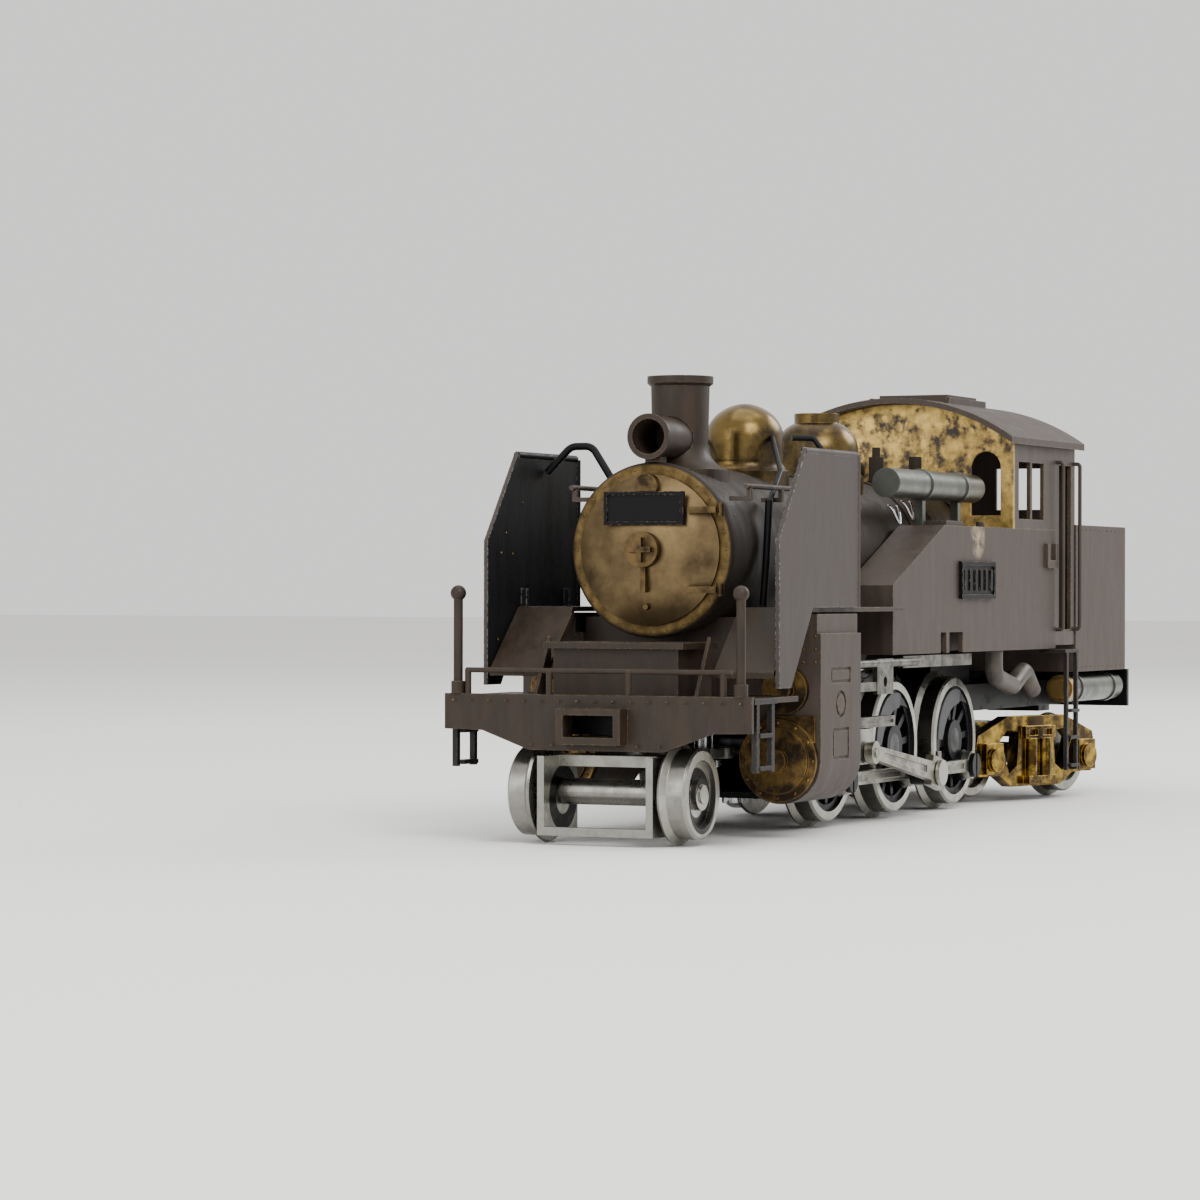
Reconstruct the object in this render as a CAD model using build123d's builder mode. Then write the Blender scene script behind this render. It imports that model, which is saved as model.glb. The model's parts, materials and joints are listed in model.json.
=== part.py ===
"""Model tank locomotive, 16.5 mm gauge: brass body, powered chassis, rods, pony truck and bogie.

Frame: +X forward, +Y to the engine's left, +Z up, millimetres.
The origin is under the middle of the model, level with the lowest points of the wheel flanges.
"""

from build123d import *
from math import cos, radians, sin, sqrt
import os

os.makedirs("parts", exist_ok=True)

# ---------------------------------------------------------------- driving dimensions
FLANGE = 0.7  # flange depth, so the rail top is at this height
WHEEL_BACK = 7.4  # inner face of each wheel, from the centre line
WHEEL_FACE = 10.3  # outer face of each wheel
FLANGE_WIDTH = 0.8
DRIVER_R = 7.85
CARRY_R = 4.8
DRIVER_Z = FLANGE + DRIVER_R
CARRY_Z = FLANGE + CARRY_R
MIDDLE_X = 7.0
DRIVER_SPACING = 21.06
DRIVER_X = {1: MIDDLE_X + DRIVER_SPACING, 2: MIDDLE_X, 3: MIDDLE_X - DRIVER_SPACING}
LEADING_X = 64.4
PONY_PIVOT_X = 40.0
BOGIE_X = -42.2
BOGIE_HALF_BASE = 10.7
BOGIE_REST_SWIVEL = -15.0  # degrees: the bogie stands turned under the cab

THROW = 3.9
LEFT_CRANK = 234.0  # degrees from +X towards +Z
RIGHT_CRANK = 144.0  # quartered
AXLE_R = 1.5
CARRY_AXLE_R = 1.0
RUN_GAP = 0.05  # radial running clearance
PIN_R = 0.9
SIDE_ROD_Y = (10.8, 11.8)
MAIN_ROD_Y = (14.0, 15.0)
MAIN_ROD_LENGTH = 21.0
CYLINDER_Y = 13.1
CYLINDER_R = 4.7
CYLINDER_X = (37.85, 49.8)
VALVE_Y = 13.9
VALVE_Z = 16.2
SLIDE_BAR_Z = (11.3, 12.5)

BOILER_Z = 31.3
BOILER_R = 9.0
SMOKEBOX_R = 9.3
SMOKEBOX_RING_R = 9.56
SMOKEBOX_FRONT_X = 54.8
SMOKEBOX_REAR_X = 36.0
CHIMNEY_X = 46.95
CAB_FRONT_X = -22.17
CAB_REAR_X = -47.0
BUNKER_REAR_X = -70.34
BEAM_X = 68.96
BEAM_HALF = 17.8
BEAM_SHEET = 0.5
TANK_Y = 15.03
TANK_INNER_Y = 9.25
TANK_Z = (19.56, 34.77)
TANK_FRONT_X = 20.3
TANK_REAR_X = -39.1
BOARD_Z = 25.1
SHEET = 0.5

FRAME_Y = (4.6, 6.2)
FRAME_TOP = 15.0
FRAME_LOW = 11.6
FRAME_DRIVER_LOW = 4.2
WORM_Z = DRIVER_Z + 6.9
MOTOR_X = (-36.0, -21.5)

SIDES = {"left": 1, "right": -1}


# ---------------------------------------------------------------- helpers
def save(piece, label):
    piece.label = label
    export_step(piece, f"parts/{label}.step")
    return piece


def y_disc(x, z, radius, y_low, y_high, mode=Mode.ADD):
    """Cylinder across the model, between two distances from the centre line."""
    middle = (x, (y_low + y_high) / 2, z)
    with Locations(Location(middle, (90, 0, 0))):
        Cylinder(radius, abs(y_high - y_low), mode=mode)


def x_disc(y, z, radius, x_low, x_high, mode=Mode.ADD):
    """Cylinder along the model."""
    with Locations(Location(((x_low + x_high) / 2, y, z), (0, 90, 0))):
        Cylinder(radius, abs(x_high - x_low), mode=mode)


def z_disc(x, y, radius, z_low, z_high, mode=Mode.ADD):
    with Locations((x, y, (z_low + z_high) / 2)):
        Cylinder(radius, z_high - z_low, mode=mode)


def block(x, y, z, mode=Mode.ADD):
    """Box between two limits on each axis."""
    with Locations(((x[0] + x[1]) / 2, (y[0] + y[1]) / 2, (z[0] + z[1]) / 2)):
        Box(abs(x[1] - x[0]), abs(y[1] - y[0]), abs(z[1] - z[0]), mode=mode)


def side_profile(points, y_low, y_high, mode=Mode.ADD):
    """Outline in side view (x, z), thickened between two distances from the centre line."""
    low, high = min(y_low, y_high), max(y_low, y_high)
    with BuildSketch(Plane.XZ.offset(-high)) as outline:
        with BuildLine():
            Polyline(*points, close=True)
        make_face()
    extrude(outline.sketch, amount=high - low, mode=mode)


def end_profile(points, x_low, x_high, mode=Mode.ADD):
    """Outline in end view (y, z), thickened between two stations along the model."""
    with BuildSketch(Plane.YZ.offset(x_low)) as outline:
        with BuildLine():
            Polyline(*points, close=True)
        make_face()
    extrude(outline.sketch, amount=x_high - x_low, mode=mode)


def wire(points, radius, bend=0.6):
    """Round wire along straight runs joined by arcs."""
    with BuildLine() as path:
        FilletPolyline(*points, radius=bend)
    with BuildSketch(Plane(origin=path.line @ 0, z_dir=path.line % 0)) as section:
        Circle(radius)
    sweep(section.sketch, path=path.line)


def crank(side, distance=THROW):
    """Offset of a crankpin from its axle."""
    angle = radians(LEFT_CRANK if side > 0 else RIGHT_CRANK)
    return distance * cos(angle), distance * sin(angle)


# ---------------------------------------------------------------- chassis
with BuildPart() as main_frame:
    outline = [
        (-68.5, FRAME_LOW), (-20.0, FRAME_LOW), (-19.0, FRAME_DRIVER_LOW), (35.0, FRAME_DRIVER_LOW),
        (36.5, FRAME_LOW), (68.1, FRAME_LOW), (68.1, FRAME_TOP), (-68.5, FRAME_TOP),
    ]
    for side in SIDES.values():
        side_profile(outline, side * FRAME_Y[0], side * FRAME_Y[1])
    for low, high in ((60.0, 66.0), (36.8, 46.0), (-49.0, -39.0), (-68.5, -64.0)):
        block((low, high), (-FRAME_Y[0], FRAME_Y[0]), (FRAME_LOW, FRAME_TOP))
    block((14.0, 20.0), (-FRAME_Y[0], FRAME_Y[0]), (FRAME_DRIVER_LOW, 12.0))
    for x in DRIVER_X.values():
        y_disc(x, DRIVER_Z, 2.4, -FRAME_Y[1], FRAME_Y[1], Mode.SUBTRACT)
    z_disc(BOGIE_X, 0, 0.8, FRAME_LOW, FRAME_TOP, Mode.SUBTRACT)
    z_disc(PONY_PIVOT_X, 0, 0.8, FRAME_LOW, FRAME_TOP, Mode.SUBTRACT)
save(main_frame.part, "main_frame")

with BuildPart() as axle_bearings:
    for x in DRIVER_X.values():
        for side in SIDES.values():
            y_disc(x, DRIVER_Z, 2.38, side * FRAME_Y[0], side * 6.7)
            y_disc(x, DRIVER_Z, AXLE_R + RUN_GAP, side * FRAME_Y[0], side * 6.7, Mode.SUBTRACT)
save(axle_bearings.part, "axle_bearings")

KEEPER_SCREWS = (32.0, 17.0, -2.5)
with BuildPart() as keeper_plate:
    block((-19.0, 35.0), (-FRAME_Y[1], FRAME_Y[1]), (3.5, FRAME_DRIVER_LOW))
    block((DRIVER_X[3] - 4.5, DRIVER_X[3] + 4.5), (-2.6, 2.6), (3.5, FRAME_DRIVER_LOW), Mode.SUBTRACT)
    for x in KEEPER_SCREWS:
        z_disc(x, 0, 0.6, 3.5, FRAME_DRIVER_LOW, Mode.SUBTRACT)
save(keeper_plate.part, "keeper_plate")

with BuildPart() as fixing_screws:
    for x in KEEPER_SCREWS:
        z_disc(x, 0, 1.2, 2.8, 3.5)
        z_disc(x, 0, 0.58, 3.5, FRAME_DRIVER_LOW)
        block((x - 1.2, x + 1.2), (-0.15, 0.15), (2.8, 3.05), Mode.SUBTRACT)
    # shouldered pivot screws of the pony truck and the bogie
    for x, head_z in ((BOGIE_X, 7.2), (PONY_PIVOT_X, 7.2)):
        z_disc(x, 0, 1.9, head_z, head_z + 0.8)
        z_disc(x, 0, 1.2, head_z + 0.8, FRAME_LOW)
        z_disc(x, 0, 0.78, FRAME_LOW, FRAME_TOP)
        block((x - 1.9, x + 1.9), (-0.2, 0.2), (head_z, head_z + 0.35), Mode.SUBTRACT)
save(fixing_screws.part, "fixing_screws")

# ---------------------------------------------------------------- motor and worm drive
with BuildPart() as motor_case:
    block(MOTOR_X, (-4.4, 4.4), (WORM_Z - 4.0, WORM_Z + 4.0))
    fillet(motor_case.edges().filter_by(Axis.X), 1.5)
    x_disc(0, WORM_Z, 1.6, MOTOR_X[0] - 0.8, MOTOR_X[0])
    x_disc(0, WORM_Z, 1.6, MOTOR_X[1], MOTOR_X[1] + 0.8)
    x_disc(0, WORM_Z, 0.75 + RUN_GAP, MOTOR_X[0] - 0.8, MOTOR_X[1] + 0.8, Mode.SUBTRACT)
save(motor_case.part, "motor_case")

with BuildPart() as motor_shaft:
    x_disc(0, WORM_Z, 0.75, MOTOR_X[0] - 1.6, DRIVER_X[3] + 5.5)
save(motor_shaft.part, "motor_shaft")

WORM_CORE_R = 1.3
WORM_TIP_R = 1.75
WORM_TEETH = 20
with BuildPart() as worm:
    worm_x = (DRIVER_X[3] - 4.5, DRIVER_X[3] + 4.5)
    x_disc(0, WORM_Z, WORM_CORE_R, *worm_x)
    for turn in range(6):
        ridge = worm_x[0] + 0.75 + turn * 1.5
        with Locations(Location((ridge, 0, WORM_Z), (0, 90 + 6, 0))):
            Cylinder(WORM_TIP_R, 0.5)
    x_disc(0, WORM_Z, 0.75, *worm_x, Mode.SUBTRACT)
save(worm.part, "worm")

GEAR_TIP_R = 5.0
with BuildPart() as worm_gear:
    y_disc(DRIVER_X[3], DRIVER_Z, GEAR_TIP_R, -1.5, 1.5)
    for tooth in range(WORM_TEETH):
        angle = 360 / WORM_TEETH * tooth
        at = (DRIVER_X[3] + GEAR_TIP_R * cos(radians(angle)), 0, DRIVER_Z + GEAR_TIP_R * sin(radians(angle)))
        with Locations(Location(at, (0, -angle, 0))):
            Box(1.0, 3.2, 0.7, mode=Mode.SUBTRACT)
    y_disc(DRIVER_X[3], DRIVER_Z, 2.4, 1.5, 2.6)
    y_disc(DRIVER_X[3], DRIVER_Z, AXLE_R, -1.5, 2.6, Mode.SUBTRACT)
save(worm_gear.part, "worm_gear")


# ---------------------------------------------------------------- driving wheels
def wheel_ring(side, tread_r, inner_r):
    """Flanged tyre, turned about its axle."""
    face, back = side * WHEEL_FACE, side * WHEEL_BACK
    root = side * (WHEEL_BACK + FLANGE_WIDTH)
    points = [
        (inner_r, back), (tread_r + FLANGE - 0.15, back), (tread_r + FLANGE, back + side * 0.3),
        (tread_r, root), (tread_r, face - side * 0.25), (tread_r - 0.25, face), (inner_r, face),
    ]
    with BuildSketch(Plane.XY) as half:
        with BuildLine():
            Polyline(*points, close=True)
        make_face()
    revolve(half.sketch, axis=Axis.Y)


for number, axle_x in DRIVER_X.items():
    with BuildPart() as tyres:
        for side in SIDES.values():
            wheel_ring(side, DRIVER_R, 6.7)
    save(tyres.part.moved(Location((axle_x, 0, DRIVER_Z))), f"driver_{number}_tyres")

    with BuildPart() as centres:
        for side in SIDES.values():
            face, back = side * 9.9, side * 8.0
            dx, dz = crank(side)
            pin_end = 12.35 if number != 2 else MAIN_ROD_Y[1] + 0.6
            y_disc(axle_x, DRIVER_Z, 6.7, back, face)
            y_disc(axle_x, DRIVER_Z, 5.9, back, face, Mode.SUBTRACT)
            y_disc(axle_x, DRIVER_Z, 2.5, side * WHEEL_BACK, side * WHEEL_FACE)
            for spoke in range(12):
                turn = 30 * spoke + (LEFT_CRANK if side > 0 else RIGHT_CRANK)
                reach = (2.0 + 6.2) / 2
                at = (
                    axle_x + reach * cos(radians(turn)),
                    side * 8.95,
                    DRIVER_Z + reach * sin(radians(turn)),
                )
                with Locations(Location(at, (0, -turn, 0))):
                    Box(4.2, 1.5, 0.8)
            # counterweight, opposite the crankpin
            with BuildSketch(Plane.XZ.offset(-max(side * 8.3, side * 10.2))):
                with Locations((axle_x, DRIVER_Z)):
                    Circle(6.3)
                with Locations(Location((axle_x + dx * 0.9, DRIVER_Z + dz * 0.9))):
                    Circle(7.6, mode=Mode.SUBTRACT)
            extrude(amount=1.9)
            # crank boss and pin
            y_disc(axle_x + dx, DRIVER_Z + dz, 1.9, side * 8.2, side * 10.7)
            y_disc(axle_x + dx, DRIVER_Z + dz, PIN_R, side * 10.7, side * pin_end)
            if number == 2:
                y_disc(axle_x + dx, DRIVER_Z + dz, 1.5, side * 11.9, side * 13.9)
                y_disc(axle_x + dx, DRIVER_Z + dz, 1.5, side * (MAIN_ROD_Y[1] + 0.1), side * pin_end)
            else:
                y_disc(axle_x + dx, DRIVER_Z + dz, 1.5, side * 11.9, side * pin_end)
                block(
                    (axle_x + dx - 0.2, axle_x + dx + 0.2),
                    (side * 12.15, side * 12.4),
                    (DRIVER_Z + dz - 1.6, DRIVER_Z + dz + 1.6),
                    Mode.SUBTRACT,
                )
            y_disc(axle_x, DRIVER_Z, AXLE_R, side * WHEEL_BACK, side * WHEEL_FACE, Mode.SUBTRACT)
    save(centres.part, f"driver_{number}_centres")

    with BuildPart() as axle:
        y_disc(axle_x, DRIVER_Z, AXLE_R, -WHEEL_FACE, WHEEL_FACE)
    save(axle.part, f"driver_{number}_axle")


# ---------------------------------------------------------------- rods and crossheads
def rod_bar(x_a, z_a, x_b, z_b, y_low, y_high, half_a, half_b):
    """Tapered bar between two pin centres."""
    length = sqrt((x_b - x_a) ** 2 + (z_b - z_a) ** 2)
    ux, uz = (x_b - x_a) / length, (z_b - z_a) / length
    points = [
        (x_a - uz * half_a, z_a + ux * half_a), (x_b - uz * half_b, z_b + ux * half_b),
        (x_b + uz * half_b, z_b - ux * half_b), (x_a + uz * half_a, z_a - ux * half_a),
    ]
    side_profile(points, y_low, y_high)


SMALL_END = {}
for name, side in SIDES.items():
    dx, dz = crank(side)
    y_low, y_high = side * SIDE_ROD_Y[0], side * SIDE_ROD_Y[1]
    with BuildPart() as side_rod:
        rod_bar(DRIVER_X[1] + dx, DRIVER_Z + dz, DRIVER_X[3] + dx, DRIVER_Z + dz, y_low, y_high, 0.75, 0.75)
        block(
            (DRIVER_X[2] + dx + 3.0, DRIVER_X[1] + dx - 3.0),
            (side * (SIDE_ROD_Y[1] - 0.25), side * (SIDE_ROD_Y[1] + 0.1)),
            (DRIVER_Z + dz - 0.35, DRIVER_Z + dz + 0.35),
            Mode.SUBTRACT,
        )
        block(
            (DRIVER_X[3] + dx + 3.0, DRIVER_X[2] + dx - 3.0),
            (side * (SIDE_ROD_Y[1] - 0.25), side * (SIDE_ROD_Y[1] + 0.1)),
            (DRIVER_Z + dz - 0.35, DRIVER_Z + dz + 0.35),
            Mode.SUBTRACT,
        )
        for axle_x in DRIVER_X.values():
            y_disc(axle_x + dx, DRIVER_Z + dz, 1.7, y_low, y_high)
        for axle_x in DRIVER_X.values():
            y_disc(axle_x + dx, DRIVER_Z + dz, PIN_R + RUN_GAP, y_low, y_high, Mode.SUBTRACT)
    save(side_rod.part, f"side_rod_{name}")

    big_x, big_z = MIDDLE_X + dx, DRIVER_Z + dz
    small_x = big_x + sqrt(MAIN_ROD_LENGTH**2 - dz**2)
    SMALL_END[name] = small_x
    y_low, y_high = side * MAIN_ROD_Y[0], side * MAIN_ROD_Y[1]
    ux, uz = (small_x - big_x) / MAIN_ROD_LENGTH, (DRIVER_Z - big_z) / MAIN_ROD_LENGTH
    with BuildPart() as main_rod:
        rod_bar(big_x, big_z, small_x, DRIVER_Z, y_low, y_high, 1.15, 0.8)
        flute = side * (MAIN_ROD_Y[1] - 0.25)
        rod_start = (big_x + 4.0 * ux, big_z + 4.0 * uz)
        rod_end = (small_x - 2.6 * ux, DRIVER_Z - 2.6 * uz)
        flute_half = 0.42
        side_profile(
            [
                (rod_start[0] - uz * flute_half, rod_start[1] + ux * flute_half),
                (rod_end[0] - uz * 0.3, rod_end[1] + ux * 0.3),
                (rod_end[0] + uz * 0.3, rod_end[1] - ux * 0.3),
                (rod_start[0] + uz * flute_half, rod_start[1] - ux * flute_half),
            ],
            flute, side * (MAIN_ROD_Y[1] + 0.1), Mode.SUBTRACT,
        )
        # strapped big end with its cotter bolts
        with Locations(Location((big_x, (y_low + y_high) / 2, big_z), (0, -12, 0))):
            Box(4.2, 1.0, 3.6)
        for along in (-1.2, 1.2):
            with Locations((big_x + along, (y_low + y_high) / 2, big_z + 2.0)):
                Cylinder(0.35, 1.0)
        y_disc(small_x, DRIVER_Z, 1.3, y_low, y_high)
        y_disc(small_x, DRIVER_Z, 0.6, side * 13.8, side * 15.2)
        y_disc(big_x, big_z, PIN_R + RUN_GAP, y_low, y_high, Mode.SUBTRACT)
    save(main_rod.part, f"main_rod_{name}")

    with BuildPart() as crosshead:
        block((small_x - 2.4, small_x + 2.4), (side * 12.5, side * 13.7), (7.2, SLIDE_BAR_Z[0] - 0.1))
        block((small_x - 2.0, small_x + 2.0), (side * 13.5, side * 13.7), (9.6, SLIDE_BAR_Z[0] - 0.1))
        x_disc(side * CYLINDER_Y, DRIVER_Z, 0.55, small_x + 2.4, small_x + 15.5)
    save(crosshead.part, f"crosshead_{name}")

# ---------------------------------------------------------------- cylinders and motion brackets
with BuildPart() as cylinder_block:
    low, high = CYLINDER_X
    block((low + 0.6, high - 0.6), (-10.4, 10.4), (FRAME_TOP, 24.0))
    x_disc(0, BOILER_Z, SMOKEBOX_R, low, high, Mode.SUBTRACT)
    for side in SIDES.values():
        block((low, high), (side * 10.4, side * 17.83), (DRIVER_Z, 22.3))
        block((low, high), (side * 11.4, side * 17.4), (22.3, 24.4))
        x_disc(side * CYLINDER_Y, DRIVER_Z, CYLINDER_R + 0.02, low, high)
        x_disc(side * CYLINDER_Y, DRIVER_Z, 0.55 + RUN_GAP, low, low + 10.4, Mode.SUBTRACT)
        # panels pressed into the outer face
        face = (side * 17.63, side * 18.0)
        for z_low, z_high, half in ((16.9, 18.6, 2.9), (8.6, 12.0, 2.4)):
            rim = half - 0.35
            block((43.8 - half, 43.8 + half), face, (z_low, z_high), Mode.SUBTRACT)
            block((43.8 - rim, 43.8 + rim), (face[0], side * 17.8), (z_low + 0.35, z_high - 0.35))
        y_disc(43.8, 14.6, 1.5, *face, Mode.SUBTRACT)
        y_disc(43.8, 14.6, 1.1, side * 17.63, side * 17.83)
save(cylinder_block.part, "cylinder_block")

with BuildPart() as cylinder_covers:
    for side in SIDES.values():
        front, rear = CYLINDER_X[1], CYLINDER_X[0]
        x_disc(side * CYLINDER_Y, DRIVER_Z, 4.5, front, front + 0.7)
        x_disc(side * CYLINDER_Y, DRIVER_Z, 3.6, front + 0.7, front + 1.1)
        x_disc(side * CYLINDER_Y, DRIVER_Z, 1.3, front + 1.1, front + 1.7)
        x_disc(side * VALVE_Y, VALVE_Z, 2.6, front, front + 0.8)
        x_disc(side * VALVE_Y, VALVE_Z, 1.1, front + 0.8, front + 2.0)
        block((front, front + 0.3), (side * 11.2, side * 17.3), (10.5, 13.4))
        x_disc(side * CYLINDER_Y, DRIVER_Z, 1.5, rear - 1.5, rear)
        x_disc(side * CYLINDER_Y, DRIVER_Z, 0.55 + RUN_GAP, rear - 1.5, rear, Mode.SUBTRACT)
save(cylinder_covers.part, "cylinder_covers")

with BuildPart() as slide_bars:
    for side in SIDES.values():
        block((16.0, CYLINDER_X[0]), (side * 12.5, side * 13.7), SLIDE_BAR_Z)
        block((16.5, 34.0), (side * 13.5, side * 13.8), (11.7, 12.1), Mode.SUBTRACT)
save(slide_bars.part, "slide_bars")

with BuildPart() as valve_gear:
    for side in SIDES.values():
        x_disc(side * 15.6, 18.7, 0.45, 14.0, CYLINDER_X[0])
        block((22.5, 27.5), (side * 15.3, side * 15.9), (15.2, 19.2))
        y_disc(25.0, 16.6, 0.6, side * 15.2, side * 16.0, Mode.SUBTRACT)
        block((27.5, CYLINDER_X[0]), (side * 15.4, side * 15.8), (15.6, 16.6))
        block((-12.0, 12.0), (side * 12.6, side * 13.2), (17.9, 19.3))
        block((12.0, 15.0), (side * 12.6, side * 15.8), (18.3, 19.1))
save(valve_gear.part, "valve_gear")

# ---------------------------------------------------------------- boiler and smokebox
with BuildPart() as boiler_shell:
    x_disc(0, BOILER_Z, SMOKEBOX_R, SMOKEBOX_REAR_X, SMOKEBOX_FRONT_X - 1.2)
    x_disc(0, BOILER_Z, BOILER_R, CAB_FRONT_X, SMOKEBOX_REAR_X)
    x_disc(0, BOILER_Z, BOILER_R - 0.6, CAB_FRONT_X, SMOKEBOX_FRONT_X - 1.2, Mode.SUBTRACT)
    for x in (18.0, -4.0, -12.0):
        x_disc(0, BOILER_Z, BOILER_R + 0.2, x - 0.5, x + 0.5)
        x_disc(0, BOILER_Z, BOILER_R - 0.6, x - 0.5, x + 0.5, Mode.SUBTRACT)
save(boiler_shell.part, "boiler_shell")

with BuildPart() as boiler_weight:
    x_disc(0, BOILER_Z, 7.6, -8.0, 48.0)
save(boiler_weight.part, "boiler_weight")

with BuildPart() as smokebox_front:
    x_disc(0, BOILER_Z, SMOKEBOX_RING_R, SMOKEBOX_FRONT_X - 1.2, SMOKEBOX_FRONT_X)
    fillet(smokebox_front.edges().sort_by(Axis.X)[-1], 0.6)
save(smokebox_front.part, "smokebox_front")

DOOR_R = 8.2
with BuildPart() as smokebox_door:
    with BuildSketch(Plane.XZ):
        with BuildLine():
            Line((SMOKEBOX_FRONT_X, 0), (SMOKEBOX_FRONT_X + 1.7, 0))
            ThreePointArc(
                (SMOKEBOX_FRONT_X + 1.7, 0),
                (SMOKEBOX_FRONT_X + 1.35, DOOR_R * 0.5),
                (SMOKEBOX_FRONT_X + 0.35, DOOR_R),
            )
            Line((SMOKEBOX_FRONT_X + 0.35, DOOR_R), (SMOKEBOX_FRONT_X, DOOR_R))
            Line((SMOKEBOX_FRONT_X, DOOR_R), (SMOKEBOX_FRONT_X, 0))
        make_face()
    revolve(axis=Axis.X)
save(smokebox_door.part.moved(Location((0, 0, BOILER_Z))), "smokebox_door")

door = smokebox_door.part.moved(Location((0, 0, BOILER_Z)))
with BuildPart() as door_fittings:
    face = SMOKEBOX_FRONT_X
    x_disc(0, BOILER_Z, 1.95, face + 1.0, face + 2.7)
    block((face + 1.2, face + 3.3), (-1.35, 1.35), (BOILER_Z - 0.28, BOILER_Z + 0.28))
    block((face + 1.2, face + 3.3), (-0.28, 0.28), (BOILER_Z - 1.35, BOILER_Z + 1.35))
    block((face + 1.2, face + 2.2), (-0.3, 0.3), (BOILER_Z - 4.6, BOILER_Z - 1.0))
    for height in (4.3, -4.3):
        block((face + 0.3, face + 1.6), (4.9, 8.3), (BOILER_Z + height - 0.35, BOILER_Z + height + 0.35))
        z_disc(face + 0.75, 8.5, 0.4, BOILER_Z + height - 0.7, BOILER_Z + height + 0.7)
    x_disc(0, BOILER_Z - 6.2, 0.3, face + 0.5, face + 1.5)
    # round makers' boss above the plate, left blank
    x_disc(0, BOILER_Z + 6.9, 1.35, face + 0.4, face + 1.5)
    block((face + 1.45, face + 2.2), (-4.8, 4.8), (BOILER_Z + 2.6, BOILER_Z + 6.35), Mode.SUBTRACT)
    add(door, mode=Mode.SUBTRACT)
save(door_fittings.part, "door_fittings")

with BuildPart() as number_plates:
    face = SMOKEBOX_FRONT_X
    block((face + 1.5, face + 2.1), (-4.7, 4.7), (BOILER_Z + 2.7, BOILER_Z + 6.3))
    block((face + 1.9, face + 2.3), (-4.3, 4.3), (BOILER_Z + 3.05, BOILER_Z + 5.95), Mode.SUBTRACT)
    add(door, mode=Mode.SUBTRACT)
    for side in SIDES.values():
        block((-14.3, -2.1), (side * TANK_Y, side * (TANK_Y + 0.5)), (26.0, 30.5))
        block((-13.8, -2.6), (side * (TANK_Y + 0.25), side * (TANK_Y + 0.6)), (26.5, 30.0), Mode.SUBTRACT)
        for bar in range(6):
            x = -12.9 + 1.88 * bar
            block((x - 0.35, x + 0.35), (side * (TANK_Y + 0.2), side * (TANK_Y + 0.45)), (27.0, 29.5))
save(number_plates.part, "number_plates")

LAMP_X = (48.2, 55.6)
LAMP_Z = 43.6
LAMP_R = 2.35
with BuildPart() as headlight:
    x_disc(0, LAMP_Z, LAMP_R, LAMP_X[0], LAMP_X[1])
    x_disc(0, LAMP_Z, LAMP_R + 0.15, LAMP_X[1] - 0.7, LAMP_X[1])
    x_disc(0, LAMP_Z, LAMP_R - 0.45, LAMP_X[0] + 1.0, LAMP_X[1], Mode.SUBTRACT)
    block((52.7, 54.4), (-0.9, 0.9), (BOILER_Z + 8.0, LAMP_Z - 2.1))
    x_disc(0, BOILER_Z, SMOKEBOX_R, 45.0, 56.0, Mode.SUBTRACT)
    x_disc(0, BOILER_Z, SMOKEBOX_RING_R, SMOKEBOX_FRONT_X - 1.2, SMOKEBOX_FRONT_X, Mode.SUBTRACT)
save(headlight.part, "headlight")

with BuildPart() as chimney:
    with BuildSketch(Plane.XZ):
        with BuildLine():
            Line((0, 37.0), (5.6, 37.0))
            Line((5.6, 37.0), (5.4, 40.2))
            ThreePointArc((5.4, 40.2), (3.75, 41.2), (3.1, 43.2))
            Line((3.1, 43.2), (3.25, 49.4))
            Line((3.25, 49.4), (3.65, 49.7))
            Line((3.65, 49.7), (3.65, 50.5))
            Line((3.65, 50.5), (2.9, 50.5))
            Line((2.9, 50.5), (2.5, 42.0))
            Line((2.5, 42.0), (0, 42.0))
            Line((0, 42.0), (0, 37.0))
        make_face()
    revolve(axis=Axis.Z)
chimney_piece = chimney.part.moved(Location((CHIMNEY_X, 0, 0)))
with BuildPart() as chimney_fitted:
    add(chimney_piece)
    x_disc(0, BOILER_Z, SMOKEBOX_R, 30.0, 60.0, Mode.SUBTRACT)
    x_disc(0, LAMP_Z, LAMP_R + 0.05, LAMP_X[0] - 0.1, 56.0, Mode.SUBTRACT)
save(chimney_fitted.part, "chimney")


def dome_profile(radius, base_radius, top, crown):
    """Half outline of a dome with a flared foot, turned about Z."""
    with BuildSketch(Plane.XZ) as half:
        with BuildLine():
            Line((0, 36.0), (base_radius, 36.0))
            Line((base_radius, 36.0), (base_radius, 40.6))
            ThreePointArc((base_radius, 40.6), (radius + 0.15, 41.0), (radius, 41.8))
            Line((radius, 41.8), (radius, top - crown))
            shoulder = (radius * 0.6, top - crown * 0.2)
            ThreePointArc((radius, top - crown), (radius * 0.88, top - crown * 0.51), shoulder)
            ThreePointArc(shoulder, (radius * 0.34, top - crown * 0.06), (radius * 0.1, top))
            Line((radius * 0.1, top), (0, top))
            Line((0, top), (0, 36.0))
        make_face()
    revolve(half.sketch, axis=Axis.Z)


STEAM_DOME_X = 28.6
SAND_DOME_X = 6.3
with BuildPart() as steam_dome_blank:
    dome_profile(4.5, 5.1, 48.3, 4.2)
with BuildPart() as steam_dome:
    add(steam_dome_blank.part.moved(Location((STEAM_DOME_X, 0, 0))))
    x_disc(0, BOILER_Z, BOILER_R, 10.0, SMOKEBOX_REAR_X, Mode.SUBTRACT)
save(steam_dome.part, "steam_dome")

with BuildPart() as sand_dome_blank:
    dome_profile(5.0, 5.6, 47.6, 4.0)
    z_disc(0, 0, 2.7, 46.9, 48.1)
with BuildPart() as sand_dome:
    add(sand_dome_blank.part.moved(Location((SAND_DOME_X, 0, 0))))
    x_disc(0, BOILER_Z, BOILER_R, -10.0, 20.0, Mode.SUBTRACT)
save(sand_dome.part, "sand_dome")

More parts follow.
